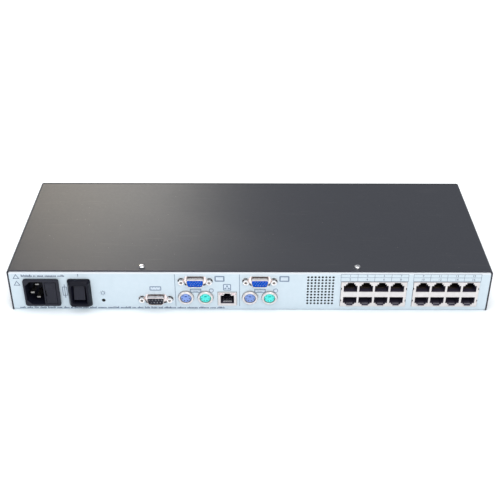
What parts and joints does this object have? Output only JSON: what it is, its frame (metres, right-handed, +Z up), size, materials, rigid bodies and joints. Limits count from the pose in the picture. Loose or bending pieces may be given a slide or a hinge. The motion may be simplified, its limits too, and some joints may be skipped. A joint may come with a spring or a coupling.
{
  "type": "kvm switch",
  "caption": "Rack-width keyboard, video and mouse switch: dark folded cover over a pale socket panel with mains inlet, rocker switch, console sockets and rows of modular port jacks.",
  "frame": {"origin": "under the middle of the bounding box, on the plane of the base pan's underside", "axes": "+X to the right when facing the socket panel, +Y from the socket panel to the front bezel, +Z up"},
  "size_m": [0.4318, 0.1648, 0.0452],
  "materials": {
    "cover_paint": "satin",
    "panel_paint": "satin",
    "bezel_plastic": "fine texture",
    "black_plastic": "fine texture",
    "nickel": "bright nickel plate",
    "screw_steel": "bright zinc plate",
    "blue_plastic": "moulded",
    "violet_plastic": "moulded",
    "aqua_plastic": "moulded",
    "circuit_board": "solder mask",
    "aluminium": "extruded",
    "led_lens": "clear moulded",
    "ferrite": "sintered core with tape",
    "sleeve": "shrink sleeve",
    "copper_winding": "enamelled wire",
    "fuse_glass": "clear tube with metal caps",
    "wire_brown": "insulation",
    "wire_blue": "insulation",
    "wire_green": "insulation",
    "wire_red": "insulation"
  },
  "bodies": {
    "root": {"base_pan": "panel_paint", "top_cover": "cover_paint", "front_bezel": "bezel_plastic", "cover_screw_left": "screw_steel", "cover_screw_right": "screw_steel", "side_screw_left_rear": "screw_steel", "side_screw_left_front": "screw_steel", "side_screw_right_rear": "screw_steel", "side_screw_right_front": "screw_steel", "inlet_housing": "black_plastic", "inlet_line_pin": "nickel", "inlet_neutral_pin": "nickel", "inlet_earth_pin": "nickel", "switch_housing": "black_plastic", "power_led": "led_lens", "serial_shell": "nickel", "serial_insulator": "black_plastic", "serial_jackscrew_left": "nickel", "serial_jackscrew_right": "nickel", "console_body_a": "black_plastic", "vga_shell_a": "nickel", "vga_insulator_a": "blue_plastic", "vga_a_jackscrew_left": "nickel", "vga_a_jackscrew_right": "nickel", "keyboard_collar_a": "nickel", "keyboard_insert_a": "violet_plastic", "mouse_collar_a": "nickel", "mouse_insert_a": "aqua_plastic", "console_body_b": "black_plastic", "vga_shell_b": "nickel", "vga_insulator_b": "blue_plastic", "vga_b_jackscrew_left": "nickel", "vga_b_jackscrew_right": "nickel", "keyboard_collar_b": "nickel", "keyboard_insert_b": "violet_plastic", "mouse_collar_b": "nickel", "mouse_insert_b": "aqua_plastic", "lan_jack_shield": "nickel", "lan_jack_housing": "black_plastic", "port_block_a_shield": "nickel", "port_block_a_housing": "black_plastic", "port_block_b_shield": "nickel", "port_block_b_housing": "black_plastic", "main_board": "circuit_board", "processor_heatsink": "aluminium", "power_board": "circuit_board", "power_capacitor": "sleeve", "power_transformer": "ferrite", "power_heatsink": "aluminium", "power_choke": "copper_winding", "mains_wire_live": "wire_brown", "mains_wire_neutral": "wire_blue", "earth_wire": "wire_green", "switched_mains_lead": "wire_blue", "dc_harness": "wire_red", "led_lead": "wire_red"},
    "rocker": {"power_rocker": "black_plastic"},
    "drawer": {"fuse_drawer": "black_plastic", "fuse": "fuse_glass"}
  },
  "joints": [
    {"name": "rocker_tilt", "type": "hinge", "parent": "root", "child": "rocker", "pos_m": [-0.15275, -0.075, 0.0196], "axis": [1, 0, 0], "range_deg": [0, 20]},
    {"name": "fuse_drawer_slide", "type": "slide", "parent": "root", "child": "drawer", "axis": [0, -1, 0], "range_m": [0, 0.016]}
  ]
}
